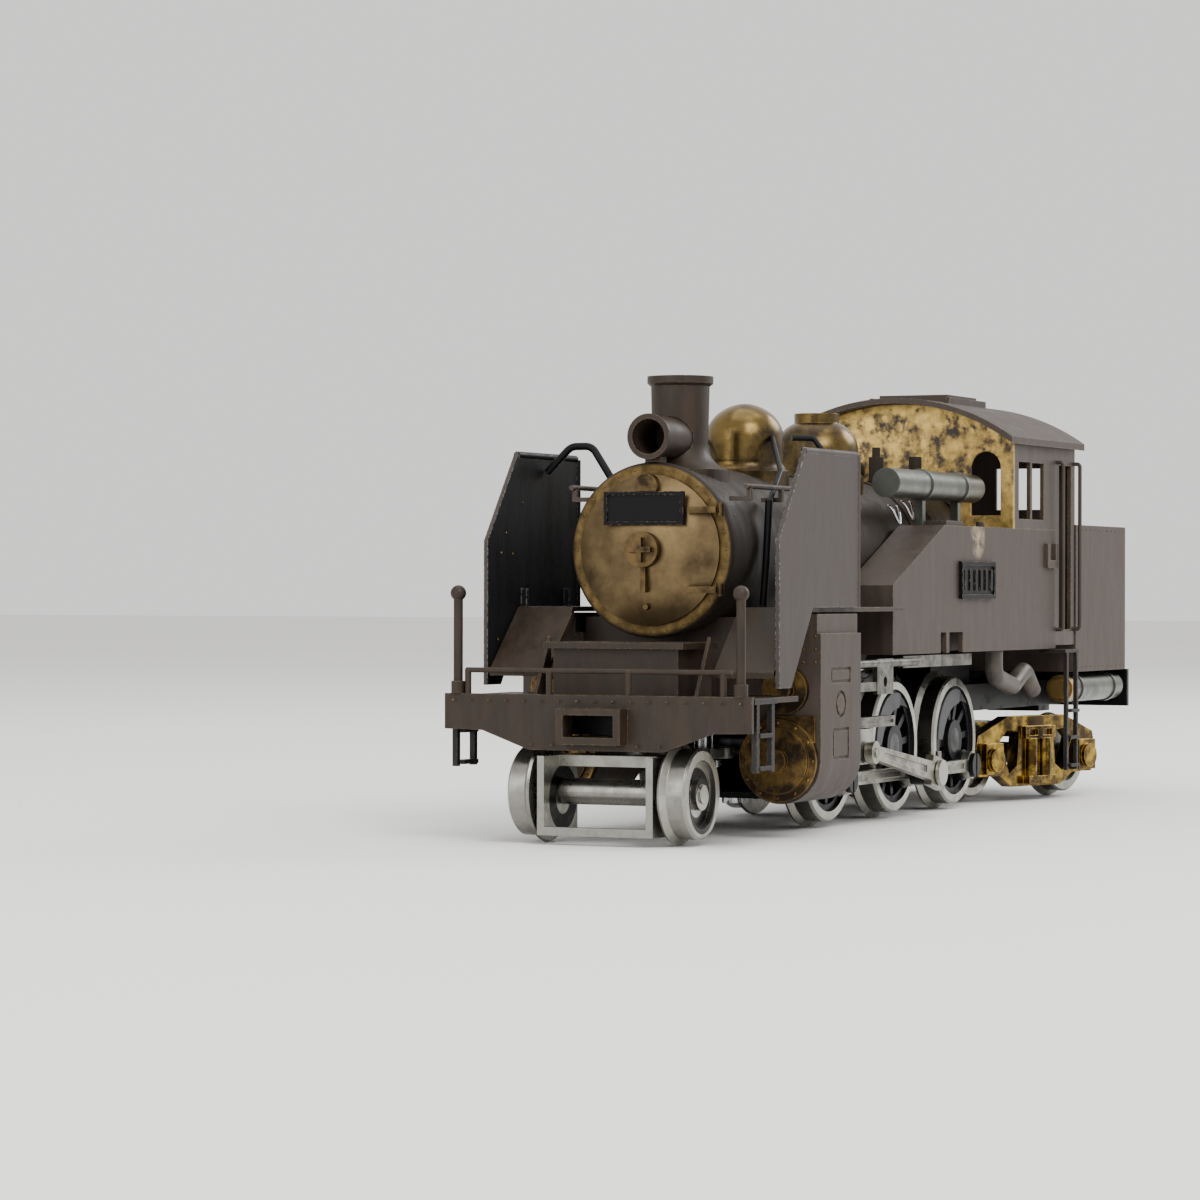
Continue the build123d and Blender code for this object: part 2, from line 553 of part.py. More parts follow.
with BuildPart() as boiler_fittings:
    # safety valves, whistle and generator in front of the cab, delivery pipes on the boiler flanks
    for x, y in ((-9.5, 1.6), (-9.5, -1.6)):
        z_disc(x, y, 0.9, 38.5, 43.4)
        z_disc(x, y, 0.5, 43.4, 44.6)
    x_disc(-5.2, 42.0, 1.5, -19.5, -14.5)
    z_disc(-17.0, -5.2, 0.7, 37.5, 41.0)
    z_disc(-15.5, 4.5, 0.8, 37.5, 43.6)
    x_disc(0, BOILER_Z, BOILER_R, -21.0, 0.0, Mode.SUBTRACT)
    x_disc(0, BOILER_Z, BOILER_R + 0.2, -12.5, -11.5, Mode.SUBTRACT)
save(boiler_fittings.part, "boiler_fittings")

with BuildPart() as boiler_pipes:
    for side in SIDES.values():
        wire([(36.0, side * 9.7, 37.0), (36.0, side * 10.6, 33.0), (36.0, side * 10.6, 25.2)], 0.4)
        # thin pipe from the steam dome, and the rod that it joins
        wire([(30.5, side * 4.2, 44.3), (39.0, side * 8.7, 40.2), (45.0, side * 9.8, 36.6)], 0.3, 1.5)
        wire([(45.0, side * 9.8, 36.8), (46.5, side * 10.1, 30.0), (47.0, side * 9.95, 25.2)], 0.42, 1.0)
    # stay from the right deflector over to the smokebox
    wire([(46.5, -16.5, 40.1), (46.3, -13.6, 43.0), (46.4, -11.0, 43.0), (47.2, -7.2, 37.8)], 0.42, 1.6)
    wire([(22.6, 3.4, 44.6), (21.0, 5.4, 44.6), (21.0, 10.2, 38.5), (21.0, 10.2, 28.5)], 0.35)
save(boiler_pipes.part, "boiler_pipes")

with BuildPart() as handrails:
    for side in SIDES.values():
        x_disc(side * 10.4, 38.2, 0.28, 21.8 if side > 0 else 15.0, 53.0)
        for x in (52.0, 43.0, 27.0):
            with Locations(Location((x, side * 9.3, 36.9), (0, 0, 0))):
                Box(0.5, 2.4, 0.5)
            block((x - 0.25, x + 0.25), (side * 10.15, side * 10.65), (36.7, 38.4))
        x_disc(0, BOILER_Z, SMOKEBOX_R + 0.02, 20.0, 54.0, Mode.SUBTRACT)
        # slotted bracket and cab door handrails
        block((-38.7, -34.6), (side * TANK_Y, side * (TANK_Y + 0.5)), (29.9, 33.0))
        block((-37.8, -35.5), (side * TANK_Y, side * (TANK_Y + 0.6)), (30.9, 33.1), Mode.SUBTRACT)
        for x in (-39.4, -46.4):
            wire(
                [
                    (x, side * TANK_Y, 43.5), (x, side * (TANK_Y + 0.9), 43.5),
                    (x, side * (TANK_Y + 0.9), 22.0), (x, side * TANK_Y, 22.0),
                ],
                0.25, 0.4,
            )
save(handrails.part, "handrails")

# ---------------------------------------------------------------- running boards and deflectors
with BuildPart() as running_boards:
    for side in SIDES.values():
        inner = side * 9.8
        side_profile(
            [
                (TANK_FRONT_X, BOARD_Z - 0.5), (53.0, BOARD_Z - 0.5), (60.4, 17.6), (60.4, 18.3),
                (53.3, BOARD_Z), (TANK_FRONT_X, BOARD_Z),
            ],
            inner, side * 16.7,
        )
        block((37.0, 54.0), (side * 9.7, side * 10.0), (24.0, BOARD_Z), Mode.SUBTRACT)
    x_disc(0, BOILER_Z, SMOKEBOX_RING_R + 0.05, 20.0, 58.0, Mode.SUBTRACT)
save(running_boards.part, "running_boards")

DEFLECTOR_Y = (16.9, 17.4)
with BuildPart() as smoke_deflectors:
    for side in SIDES.values():
        side_profile(
            [
                (60.5, 16.6), (60.5, 32.3), (53.0, 42.1), (37.8, 41.9), (36.9, BOARD_Z), (51.0, BOARD_Z),
                (57.2, 16.6),
            ],
            side * DEFLECTOR_Y[0], side * DEFLECTOR_Y[1],
        )
        # rolled rear and top edges
        z_disc(37.4, side * 17.1, 0.45, BOARD_Z, 41.8)
        x_disc(side * 17.1, 41.9, 0.4, 37.8, 53.0)
        # stays down to the running board
        for x in (41.0, 52.0):
            block((x - 0.25, x + 0.25), (side * 16.2, side * 16.9), (BOARD_Z, BOARD_Z + 2.0))
save(smoke_deflectors.part, "smoke_deflectors")

with BuildPart() as front_deck:
    block((54.2, BEAM_X - BEAM_SHEET), (-17.0, 17.0), (15.1, 15.7))
    # box over the cylinders' steam chest, with an overhanging lid
    block((56.0, 64.0), (-7.3, 7.3), (15.7, 20.7))
    block((56.3, 63.4), (-6.8, 6.8), (15.1, 20.0), Mode.SUBTRACT)
    block((55.6, 64.8), (-8.2, 8.2), (20.7, 21.4))
    # stiffening webs beside the box
    for side in SIDES.values():
        side_profile([(60.4, 15.7), (64.2, 15.7), (60.6, 22.0)], side * 9.2, side * 9.6)
save(front_deck.part, "front_deck")

with BuildPart() as front_beam:
    end_profile(
        [
            (-BEAM_HALF, 12.1), (-13.3, 12.0), (-7.8, 10.0), (7.8, 10.0), (13.3, 12.0), (BEAM_HALF, 12.1),
            (BEAM_HALF, 15.9), (-BEAM_HALF, 15.9),
        ],
        BEAM_X - BEAM_SHEET, BEAM_X,
    )
    block((BEAM_X, BEAM_X + 2.0), (-3.7, 3.7), (10.7, 14.5))
    block((BEAM_X - 4.2, BEAM_X - BEAM_SHEET), (-3.7, 3.7), (10.7, 11.5))
    block((BEAM_X - 1.0, BEAM_X + 2.1), (-2.9, 2.9), (11.5, 13.8), Mode.SUBTRACT)
    z_disc(BEAM_X - 2.2, 0, 0.8, 10.6, 11.6, Mode.SUBTRACT)
save(front_beam.part, "front_beam")

with BuildPart() as front_rails:
    rail_x = BEAM_X - 0.4
    y_disc(rail_x, 18.4, 0.28, -15.4, 15.4)
    for y in (-15.2, -5.6, 3.6, 14.4):
        z_disc(rail_x, y, 0.35, 15.9, 18.5)
    for side in SIDES.values():
        z_disc(rail_x, side * 16.4, 0.75, 15.9, 17.2)
        z_disc(rail_x, side * 16.4, 0.5, 17.2, 26.2)
        with Locations((rail_x, side * 16.4, 26.6)):
            Sphere(0.85)
save(front_rails.part, "front_rails")

with BuildPart() as footsteps:
    for side in SIDES.values():
        # front steps behind the beam
        for x in (62.9, 67.0):
            block((x - 0.35, x + 0.35), (side * 17.1, side * 17.7), (8.0, 15.1))
        for z in (8.2, 11.6):
            block((63.25, 66.65), (side * 16.6, side * 17.8), (z, z + 0.45))
        block((62.0, 68.1), (side * 17.05, side * 17.8), (15.1, 15.7))
        # cab steps
        for x in (-37.6, -41.6):
            block((x - 0.3, x + 0.3), (side * 16.7, side * 17.2), (4.0, TANK_Z[0] - 0.1))
        for z in (4.4, 8.0, 11.4):
            block((-41.3, -37.9), (side * 16.5, side * 17.6), (z, z + 0.4))
        block((-42.4, -36.8), (side * 13.6, side * 17.2), (TANK_Z[0] - 0.5, TANK_Z[0] - 0.1))
save(footsteps.part, "footsteps")

# ---------------------------------------------------------------- side tanks
for name, side in SIDES.items():
    with BuildPart() as tank:
        side_profile(
            [
                (TANK_FRONT_X, TANK_Z[0]), (TANK_FRONT_X, 27.6), (2.8, TANK_Z[1]), (TANK_REAR_X, TANK_Z[1]),
                (TANK_REAR_X, TANK_Z[0]),
            ],
            side * TANK_INNER_Y, side * TANK_Y,
        )
        side_profile(
            [
                (TANK_FRONT_X - SHEET, TANK_Z[0] - 1), (TANK_FRONT_X - SHEET, 27.2), (2.6, TANK_Z[1] - SHEET),
                (TANK_REAR_X + SHEET, TANK_Z[1] - SHEET), (TANK_REAR_X + SHEET, TANK_Z[0] - 1),
            ],
            side * (TANK_INNER_Y + SHEET), side * (TANK_Y - SHEET), Mode.SUBTRACT,
        )
        block((-3.6, 4.2), (side * 14.0, side * 15.2), (TANK_Z[0] - 0.1, 22.0), Mode.SUBTRACT)
        block((1.2, 2.2), (side * 14.53, side * TANK_Y), (TANK_Z[0], 22.4))
        # filler lid and lifting eyes
        block((-6.0, 0.0), (side * 11.2, side * 14.2), (TANK_Z[1], TANK_Z[1] + 0.6))
        z_disc(-15.0, side * 13.2, 0.5, TANK_Z[1], TANK_Z[1] + 0.7)
        x_disc(0, BOILER_Z, BOILER_R + 0.25, TANK_REAR_X, TANK_FRONT_X, Mode.SUBTRACT)
    save(tank.part, f"side_tank_{name}")

# ---------------------------------------------------------------- cab, roof and bunker
ROOF_R = 27.6
ROOF_AXIS_Z = 23.6
ROOF_SHEET = 0.7
CAB_SEAT_Z = TANK_Z[1]
with BuildPart() as cab_body:
    with BuildSketch(Plane.YZ.offset(CAB_REAR_X)):
        with Locations((0, ROOF_AXIS_Z)):
            Circle(ROOF_R - ROOF_SHEET)
        with Locations((0, 40.0)):
            Rectangle(2 * TANK_Y, 40.0, mode=Mode.INTERSECT)
        with Locations((0, ROOF_AXIS_Z - 10.0)):
            Rectangle(60.0, 12.4, mode=Mode.SUBTRACT)
    extrude(amount=CAB_FRONT_X - CAB_REAR_X)
    with BuildSketch(Plane.YZ.offset(CAB_REAR_X + SHEET)):
        with Locations((0, ROOF_AXIS_Z)):
            Circle(ROOF_R + 2.0)
        with Locations((0, 40.4)):
            Rectangle(2 * (TANK_Y - SHEET), 40.0, mode=Mode.INTERSECT)
    extrude(amount=CAB_FRONT_X - CAB_REAR_X - 2 * SHEET, mode=Mode.SUBTRACT)
    # rebate over the side tanks
    for side in SIDES.values():
        block((TANK_REAR_X, -20.0), (side * TANK_INNER_Y, side * 16.0), (0.0, CAB_SEAT_Z), Mode.SUBTRACT)
    # boiler opening, spectacle windows, side windows, doorways
    x_disc(0, BOILER_Z, BOILER_R + 0.3, CAB_FRONT_X - 2.0, CAB_FRONT_X + 1.0, Mode.SUBTRACT)
    for side in SIDES.values():
        block((CAB_FRONT_X - 1, CAB_FRONT_X + 1), (side * 9.4, side * 13.4), (36.4, 42.4), Mode.SUBTRACT)
        x_disc(side * 11.4, 42.4, 2.0, CAB_FRONT_X - 1, CAB_FRONT_X + 1, Mode.SUBTRACT)
        block((-34.2, -24.4), (side * 14.0, side * 16.0), (36.0, 43.2), Mode.SUBTRACT)
        block((-29.6, -28.9), (side * (TANK_Y - SHEET), side * TANK_Y), (35.6, 43.4))
        block((-45.4, -40.4), (side * 14.0, side * 16.0), (22.0, 43.2), Mode.SUBTRACT)
        block((CAB_REAR_X - 1, CAB_REAR_X + 1), (side * 4.4, side * 11.6), (37.6, 43.0), Mode.SUBTRACT)
    block((TANK_REAR_X, CAB_REAR_X + SHEET), (-TANK_Y + SHEET, TANK_Y - SHEET), (20.2, 20.8))
save(cab_body.part, "cab_body")

with BuildPart() as cab_roof:
    with BuildSketch(Plane.YZ.offset(-48.4)):
        with Locations((0, ROOF_AXIS_Z)):
            Circle(ROOF_R)
            Circle(ROOF_R - ROOF_SHEET, mode=Mode.SUBTRACT)
        with Locations((0, 50.0)):
            Rectangle(2 * 15.9, 12.0, mode=Mode.INTERSECT)
    extrude(amount=48.4 - 19.2)
    # sliding hatch on its rails
    block((-38.0, -27.0), (-4.6, 4.6), (50.0, 51.9))
    block((-39.5, -25.5), (-5.4, -4.9), (50.0, 51.5))
    block((-39.5, -25.5), (4.9, 5.4), (50.0, 51.5))
    x_disc(0, ROOF_AXIS_Z, ROOF_R - ROOF_SHEET, -50.0, -18.0, Mode.SUBTRACT)
save(cab_roof.part, "cab_roof")

with BuildPart() as backhead:
    block((-24.4, -23.0), (-7.8, 7.8), (22.0, 38.0))
    x_disc(0, 31.3, 7.6, -24.4, -23.0)
    x_disc(0, 29.0, 1.8, -25.2, -24.4)
    y_disc(-25.4, 36.4, 0.4, -5.0, 5.0)
    block((-25.4, -24.4), (-0.4, 0.4), (36.0, 36.8))
    block((-25.3, -24.9), (-3.4, -2.8), (31.5, 36.4))
save(backhead.part, "backhead")

with BuildPart() as bunker:
    block((BUNKER_REAR_X, CAB_REAR_X), (-15.2, 15.2), (16.4, 35.6))
    fillet(bunker.edges().filter_by(Axis.Z).group_by(Axis.X)[0], 2.0)
    block((BUNKER_REAR_X + 0.7, CAB_REAR_X - 0.7), (-14.5, 14.5), (22.0, 36.0), Mode.SUBTRACT)
    block((BUNKER_REAR_X + 0.7, CAB_REAR_X - 0.7), (-14.5, 14.5), (16.0, 21.3), Mode.SUBTRACT)
save(bunker.part, "bunker")

with BuildPart() as rear_beam:
    block((BUNKER_REAR_X, BUNKER_REAR_X + 0.8), (-15.2, 15.2), (11.4, 16.4))
    block((BUNKER_REAR_X - 0.6, BUNKER_REAR_X), (-3.7, 3.7), (10.6, 14.6))
    block((BUNKER_REAR_X, BUNKER_REAR_X + 4.0), (-3.7, 3.7), (10.6, 11.4))
    block((BUNKER_REAR_X - 0.7, BUNKER_REAR_X + 1.0), (-2.9, 2.9), (11.4, 13.8), Mode.SUBTRACT)
    z_disc(BUNKER_REAR_X + 2.4, 0, 0.8, 10.5, 11.5, Mode.SUBTRACT)
save(rear_beam.part, "rear_beam")

FEED_DRUM = (11.4, 39.6)  # y and z of its axis
with BuildPart() as air_reservoirs:
    for side in SIDES.values():
        x_disc(side * 13.3, 14.2, 1.8, -68.0, -46.0)
        for x in (-50.5, -64.5):
            x_disc(side * 13.3, 14.2, 2.0, x - 0.4, x + 0.4)
        x_disc(side * 13.3, 14.2, 1.3, -46.0, -45.2)
    # feed-water drum lying on the left tank, on two straps
    x_disc(FEED_DRUM[0], FEED_DRUM[1], 1.75, -17.0, 13.0)
    for x in (-11.0, 1.5):
        x_disc(FEED_DRUM[0], FEED_DRUM[1], 1.95, x - 0.5, x + 0.5)
        block((x - 0.5, x + 0.5), (FEED_DRUM[0] - 0.5, FEED_DRUM[0] + 0.5), (TANK_Z[1], FEED_DRUM[1] - 1.0))
save(air_reservoirs.part, "air_reservoirs")

with BuildPart() as injector_pipes:
    for side in SIDES.values():
        wire(
            [
                (-19.0, side * 13.6, 19.5), (-19.0, side * 13.6, 16.4), (-26.0, side * 13.6, 15.0),
                (-30.5, side * 13.6, 17.0), (-34.0, side * 13.6, 14.2),
            ],
            1.15, 1.7,
        )
save(injector_pipes.part, "injector_pipes")

# ---------------------------------------------------------------- pony truck
with BuildPart() as pony_frame:
    z_disc(PONY_PIVOT_X, 0, 3.2, 8.2, 9.4)
    block((PONY_PIVOT_X, 61.0), (-1.8, 1.8), (8.2, 9.4))
    block((60.0, 65.4), (-5.9, 5.9), (8.2, 9.4))
    z_disc(PONY_PIVOT_X, 0, 1.2 + RUN_GAP, 8.0, 9.6, Mode.SUBTRACT)
    for side in SIDES.values():
        block((60.8, 69.2), (side * 5.9, side * 6.7), (1.0, 9.4))
        y_disc(LEADING_X, CARRY_Z, CARRY_AXLE_R + RUN_GAP, side * 5.8, side * 6.8, Mode.SUBTRACT)
    block((68.4, 69.2), (-6.7, 6.7), (1.0, 1.9))
save(pony_frame.part, "pony_frame")


def wheelset(axle_end, shoulder):
    """Axle through the origin with a pair of solid, dished wheels pressed on it."""
    y_disc(0, 0, CARRY_AXLE_R, -axle_end, axle_end)
    y_disc(0, 0, 1.4, -shoulder, shoulder)
    for side in SIDES.values():
        wheel_ring(side, CARRY_R, 3.6)
    for side in SIDES.values():
        y_disc(0, 0, 3.6, side * 8.0, side * 9.6)
        y_disc(0, 0, 1.7, side * WHEEL_BACK, side * WHEEL_FACE)


with BuildPart() as pony_wheelset:
    wheelset(WHEEL_FACE + 0.2, 5.7)
save(pony_wheelset.part.moved(Location((LEADING_X, 0, CARRY_Z))), "pony_wheelset")

# ---------------------------------------------------------------- trailing bogie
BOGIE_AXIS = Axis((BOGIE_X, 0, 0), (0, 0, 1))
JOURNAL_Y = (11.4, 13.0)
with BuildPart() as bogie_frame:
    for side in SIDES.values():
        inner, outer = side * JOURNAL_Y[0], side * JOURNAL_Y[1]
        arch = [
            (-14.0, 6.0), (-13.2, 8.6), (-6.5, 10.9), (6.5, 10.9), (13.2, 8.6), (14.0, 6.0), (13.0, 3.4),
            (8.4, 3.4), (5.6, 1.9), (-5.6, 1.9), (-8.4, 3.4), (-13.0, 3.4),
        ]
        side_profile([(BOGIE_X + x, z) for x, z in arch], inner, outer)
        for end in (-1, 1):
            hole = [(3.9, 8.9), (6.6, 9.2), (8.3, 7.9), (6.2, 3.6), (4.4, 4.6)]
            side_profile([(BOGIE_X + end * x, z) for x, z in hole], inner - side, outer + side, Mode.SUBTRACT)
            journal = BOGIE_X + end * BOGIE_HALF_BASE
            block((journal - 1.9, journal + 1.9), (outer, outer + side * 0.9), (3.7, 7.6))
            y_disc(journal, CARRY_Z, 1.5, outer + side * 0.9, outer + side * 1.4)
            y_disc(journal, CARRY_Z, CARRY_AXLE_R + RUN_GAP, inner, side * 12.4, Mode.SUBTRACT)
        # bolster end with two windows, round spring housings and spring plank
        block((BOGIE_X - 3.4, BOGIE_X + 3.4), (outer, outer + side * 0.7), (8.0, 9.6))
        block((BOGIE_X - 3.0, BOGIE_X + 3.0), (outer, outer + side * 1.0), (2.2, 3.2))
        for x in (-1.6, 1.6):
            window = (BOGIE_X + x - 1.0, BOGIE_X + x + 1.0)
            block(window, (outer + side * 0.3, outer + side * 0.9), (8.4, 9.2), Mode.SUBTRACT)
            z_disc(BOGIE_X + x, outer + side * 0.1, 0.95, 3.2, 8.0)
    block((BOGIE_X - 3.2, BOGIE_X + 3.2), (-JOURNAL_Y[0], JOURNAL_Y[0]), (8.2, 10.0))
    z_disc(BOGIE_X, 0, 1.2 + RUN_GAP, 8.0, 10.2, Mode.SUBTRACT)
save(bogie_frame.part.rotate(BOGIE_AXIS, BOGIE_REST_SWIVEL), "bogie_frame")

for number, offset in ((1, BOGIE_HALF_BASE), (2, -BOGIE_HALF_BASE)):
    axle_x = BOGIE_X + offset
    with BuildPart() as bogie_wheelset:
        wheelset(12.3, 7.0)
    placed = bogie_wheelset.part.moved(Location((axle_x, 0, CARRY_Z)))
    save(placed.rotate(BOGIE_AXIS, BOGIE_REST_SWIVEL), f"bogie_wheelset_{number}")
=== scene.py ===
"""Looks of the model tank locomotive: worn paint over brass, nickel-silver wheels and rods."""

import json
import math

import bmesh
import bpy
from mathutils import Matrix, Vector


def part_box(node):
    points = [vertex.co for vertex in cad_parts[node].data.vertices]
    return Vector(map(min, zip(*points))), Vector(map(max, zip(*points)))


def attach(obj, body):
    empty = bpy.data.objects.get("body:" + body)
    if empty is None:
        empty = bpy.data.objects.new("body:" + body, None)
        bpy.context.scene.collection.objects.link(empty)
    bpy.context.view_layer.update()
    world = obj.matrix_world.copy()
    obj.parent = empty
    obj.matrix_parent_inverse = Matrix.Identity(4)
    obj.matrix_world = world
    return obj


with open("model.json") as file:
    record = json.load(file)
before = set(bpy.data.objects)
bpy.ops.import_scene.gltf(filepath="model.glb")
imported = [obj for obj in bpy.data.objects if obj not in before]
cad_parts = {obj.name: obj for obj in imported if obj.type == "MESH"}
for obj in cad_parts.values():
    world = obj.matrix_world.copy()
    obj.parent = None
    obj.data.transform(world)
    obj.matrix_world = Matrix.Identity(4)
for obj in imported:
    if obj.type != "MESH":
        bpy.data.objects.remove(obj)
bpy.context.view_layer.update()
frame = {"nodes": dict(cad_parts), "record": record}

MM = 0.001
SIDES = (1, -1)
scene = bpy.context.scene

# ---------------------------------------------------------------- colours (linear)
GREY_PAINT = (0.045, 0.033, 0.0265)
BROWN_PAINT = (0.026, 0.0175, 0.0115)
UMBER_PAINT = (0.018, 0.0125, 0.008)
BLACK_PAINT = (0.004, 0.004, 0.0045)
DULL_BRASS = (0.34, 0.22, 0.075)
BRIGHT_BRASS = (0.40, 0.26, 0.04)
NICKEL = (0.37, 0.365, 0.325)
GREENISH_STEEL = (0.115, 0.12, 0.105)


# ---------------------------------------------------------------- material kit
class Nodes:
    """Small helper that adds and links shader nodes of one material."""

    def __init__(self, name):
        self.material = bpy.data.materials.new(name)
        self.material.use_nodes = True
        self.tree = self.material.node_tree
        self.shader = self.tree.nodes["Principled BSDF"]
        self.coordinates = self.tree.nodes.new("ShaderNodeTexCoord").outputs["Object"]

    def node(self, kind, **settings):
        made = self.tree.nodes.new(kind)
        for key, value in settings.items():
            setattr(made, key, value)
        return made

    def link(self, source, target):
        self.tree.links.new(source, target)

    def noise(self, per_mm, detail=4.0, roughness=0.6, stretch=(1, 1, 1), offset=0.0):
        """Noise whose features are about 1 / per_mm millimetres across."""
        mapping = self.node("ShaderNodeMapping")
        mapping.inputs["Scale"].default_value = [per_mm / MM * s for s in stretch]
        mapping.inputs["Location"].default_value = (offset, offset, offset)
        self.link(self.coordinates, mapping.inputs["Vector"])
        noise = self.node("ShaderNodeTexNoise")
        noise.inputs["Scale"].default_value = 1.0
        noise.inputs["Detail"].default_value = detail
        noise.inputs["Roughness"].default_value = roughness
        self.link(mapping.outputs["Vector"], noise.inputs["Vector"])
        return noise.outputs["Fac"]

    def ramp(self, factor, low, high, low_value=0.0, high_value=1.0):
        mapped = self.node("ShaderNodeMapRange", interpolation_type="SMOOTHSTEP")
        mapped.inputs["From Min"].default_value = low
        mapped.inputs["From Max"].default_value = high
        mapped.inputs["To Min"].default_value = low_value
        mapped.inputs["To Max"].default_value = high_value
        self.link(factor, mapped.inputs["Value"])
        return mapped.outputs["Result"]

    def math(self, operation, first, second):
        made = self.node("ShaderNodeMath", operation=operation, use_clamp=True)
        for index, value in enumerate((first, second)):
            if isinstance(value, (int, float)):
                made.inputs[index].default_value = value
            else:
                self.link(value, made.inputs[index])
        return made.outputs["Value"]

    def mix(self, factor, first, second):
        """Colour mix of two colours or sockets."""
        made = self.node("ShaderNodeMix", data_type="RGBA")
        self.link(factor, made.inputs["Factor"])
        for socket, value in ((made.inputs[6], first), (made.inputs[7], second)):
            if isinstance(value, tuple):
                socket.default_value = (*value, 1.0)
            else:
                self.link(value, socket)
        return made.outputs[2]

    def edges(self, radius_mm=0.22, low=0.02, high=0.16):
        """White along convex and concave edges, from the difference that rounding makes."""
        rounded = self.node("ShaderNodeBevel", samples=4)
        rounded.inputs["Radius"].default_value = radius_mm * MM
        flat = self.node("ShaderNodeNewGeometry")
        dot = self.node("ShaderNodeVectorMath", operation="DOT_PRODUCT")
        self.link(rounded.outputs["Normal"], dot.inputs[0])
        self.link(flat.outputs["Normal"], dot.inputs[1])
        away = self.math("SUBTRACT", 1.0, dot.outputs["Value"])
        return self.ramp(away, low, high)

    def zone(self, centre, radius, softness):
        """White within a radius of a point, all in millimetres."""
        offset = self.node("ShaderNodeVectorMath", operation="DISTANCE")
        self.link(self.coordinates, offset.inputs[0])
        offset.inputs[1].default_value = [c * MM for c in centre]
        near, far = (radius - softness) * MM, (radius + softness) * MM
        return self.ramp(offset.outputs["Value"], near, far, 1.0, 0.0)

    def band(self, axis, low, high, softness=0.3):
        """White between two positions along an axis, in millimetres."""
        split = self.node("ShaderNodeSeparateXYZ")
        self.link(self.coordinates, split.inputs["Vector"])
        value = split.outputs[axis]
        rise = self.ramp(value, (low - softness) * MM, (low + softness) * MM)
        fall = self.ramp(value, (high - softness) * MM, (high + softness) * MM, 1.0, 0.0)
        return self.math("MULTIPLY", rise, fall)

    def sideways(self):
        """White on faces that look along the model's width, black on treads and edges."""
        normal = self.node("ShaderNodeTexCoord").outputs["Normal"]
        split = self.node("ShaderNodeSeparateXYZ")
        self.link(normal, split.inputs["Vector"])
        facing = self.node("ShaderNodeMath", operation="ABSOLUTE")
        self.link(split.outputs["Y"], facing.inputs[0])
        return self.ramp(facing.outputs["Value"], 0.55, 0.85)

    def annulus(self, x, z, inner, outer):
        """White between two radii about an axle, in millimetres."""
        flat = self.node("ShaderNodeVectorMath", operation="MULTIPLY")
        self.link(self.coordinates, flat.inputs[0])
        flat.inputs[1].default_value = (1.0, 0.0, 1.0)
        away = self.node("ShaderNodeVectorMath", operation="DISTANCE")
        self.link(flat.outputs["Vector"], away.inputs[0])
        away.inputs[1].default_value = (x * MM, 0.0, z * MM)
        value = away.outputs["Value"]
        rise = self.ramp(value, (inner - 0.06) * MM, (inner + 0.06) * MM)
        fall = self.ramp(value, (outer - 0.06) * MM, (outer + 0.06) * MM, 1.0, 0.0)
        return self.math("MULTIPLY", rise, fall)

    def finish(self, colour, metallic, roughness, bump_source, bump_mm=0.03, round_mm=0.08):
        shader = self.shader
        for socket, value in (("Base Color", colour), ("Metallic", metallic), ("Roughness", roughness)):
            if isinstance(value, (int, float)):
                shader.inputs[socket].default_value = value
            elif isinstance(value, tuple):
                shader.inputs[socket].default_value = (*value, 1.0)
            else:
                self.link(value, shader.inputs[socket])
        rounded = self.node("ShaderNodeBevel", samples=4)
        rounded.inputs["Radius"].default_value = round_mm * MM
        bump = self.node("ShaderNodeBump")
        bump.inputs["Strength"].default_value = 0.35
        bump.inputs["Distance"].default_value = bump_mm * MM
        self.link(bump_source, bump.inputs["Height"])
        self.link(rounded.outputs["Normal"], bump.inputs["Normal"])
        self.link(bump.outputs["Normal"], shader.inputs["Normal"])
        return self.material


def worn_paint(
    name, paint, metal, edge=0.8, patches=(0.66, 0.72), gloss=0.5, zones=(), dirt=0.55, solid=(),
    black_zone=None,
):
    """Thin paint over metal: bare on the edges and in blotches, dusty and uneven elsewhere."""
    kit = Nodes(name)
    blotch = kit.noise(0.16, 5.0, 0.62)
    grain = kit.noise(2.6, 3.0, 0.7)
    streak = kit.noise(0.55, 4.0, 0.65, (1, 1, 0.22), 3.0)
    shade = kit.mix(
        kit.ramp(streak, 0.32, 0.7),
        tuple(c * dirt for c in paint),
        tuple(min(1.0, c * 1.16) for c in paint),
    )
    if black_zone:
        shade = kit.mix(black_zone(kit), shade, BLACK_PAINT)
    bare = kit.ramp(blotch, *patches)
    chipped = kit.math("MULTIPLY", kit.edges(), kit.ramp(grain, 0.42, 0.62))
    speckled = kit.math("MULTIPLY", bare, kit.ramp(grain, 0.35, 0.6))
    bare = kit.math("MAXIMUM", speckled, kit.math("MULTIPLY", chipped, edge))
    for make_zone, strength in zones:
        ragged = kit.ramp(kit.noise(0.42, 5.0, 0.7, offset=9.0), 0.36, 0.56)
        broken = kit.math("MULTIPLY", make_zone(kit), ragged)
        bare = kit.math("MAXIMUM", bare, kit.math("MULTIPLY", broken, strength))
    for make_zone in solid:
        bare = kit.math("MAXIMUM", bare, make_zone(kit))
    clouds = kit.ramp(kit.noise(0.8, 4.0, 0.6, offset=5.0), 0.3, 0.75)
    tarnished = kit.mix(clouds, tuple(c * 0.45 for c in metal), metal)
    colour = kit.mix(bare, shade, tarnished)
    metallic = kit.math("MULTIPLY", bare, 0.92)
    roughness = kit.ramp(streak, 0.25, 0.75, gloss - 0.08, gloss + 0.14)
    kit.shader.inputs["Specular IOR Level"].default_value = 0.22
    relief = kit.math("SUBTRACT", grain, kit.math("MULTIPLY", bare, 0.5))
    return kit.finish(colour, metallic, roughness, relief)


